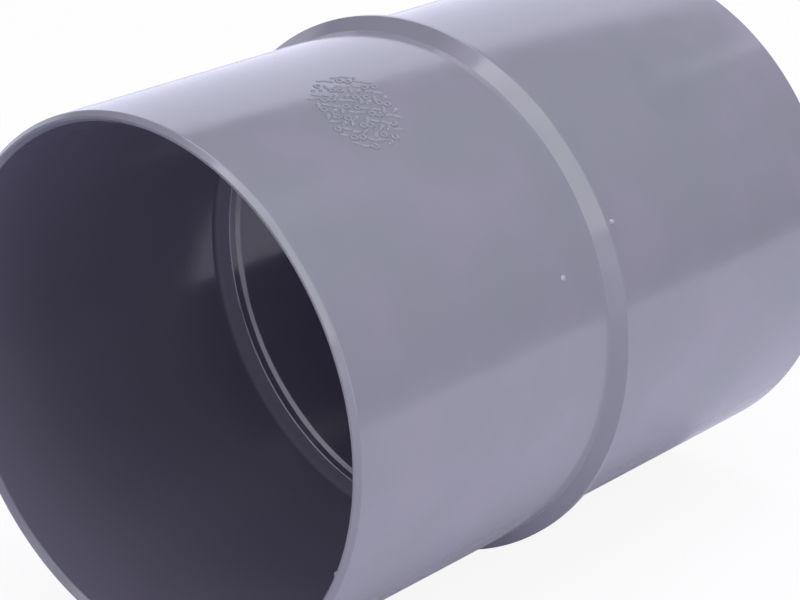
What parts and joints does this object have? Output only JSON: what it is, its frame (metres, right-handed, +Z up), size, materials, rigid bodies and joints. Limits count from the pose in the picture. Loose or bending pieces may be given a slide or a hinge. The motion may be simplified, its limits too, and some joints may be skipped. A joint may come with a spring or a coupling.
{
  "type": "pipe coupling",
  "caption": "Straight PVC-U pipe coupling: a tube with a plain socket at each end, a ridge round its middle, and a low stop inside between the sockets.",
  "frame": {"origin": "on the pipe axis, halfway between the two rims", "axes": "+Y along the pipe axis, from the front socket to the rear socket; +Z up as the coupling lies on its side"},
  "size_m": [0.1204, 0.1604, 0.1204],
  "materials": {
    "grey_pvc": "moulded, semi-gloss"
  },
  "bodies": {
    "root": {"coupling_body": "grey_pvc"}
  },
  "joints": []
}
